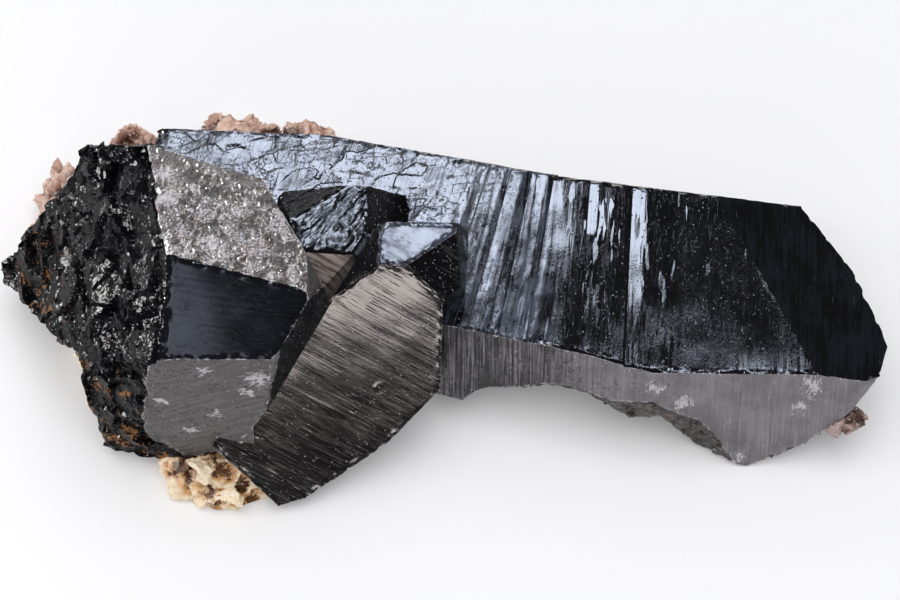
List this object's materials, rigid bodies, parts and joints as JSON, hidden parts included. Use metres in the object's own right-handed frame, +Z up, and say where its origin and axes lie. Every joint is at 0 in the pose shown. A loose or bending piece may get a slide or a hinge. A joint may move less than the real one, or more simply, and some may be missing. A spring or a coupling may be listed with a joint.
{
  "type": "morion quartz cluster",
  "caption": "Black smoky quartz crystals grown together on pale feldspar rock: one long flattened crystal and stout ones at its end, lying on a flat rock foot.",
  "frame": {"origin": "middle of the box round the cluster, on the surface it lies on", "axes": "+X along the long crystal towards its tip, +Z up, the stout crystal's big faces look towards -Y"},
  "size_m": [0.1534, 0.0788, 0.0495],
  "materials": {
    "morion_quartz": "glossy opaque black quartz, frosted and striated in places",
    "feldspar_tan": "rough tan feldspar rock",
    "feldspar_pink": "rough pinkish-brown feldspar"
  },
  "bodies": {
    "root": {"morion_crystals": "morion_quartz", "feldspar_matrix": "feldspar_tan", "feldspar_crumb": "feldspar_pink"}
  },
  "joints": []
}
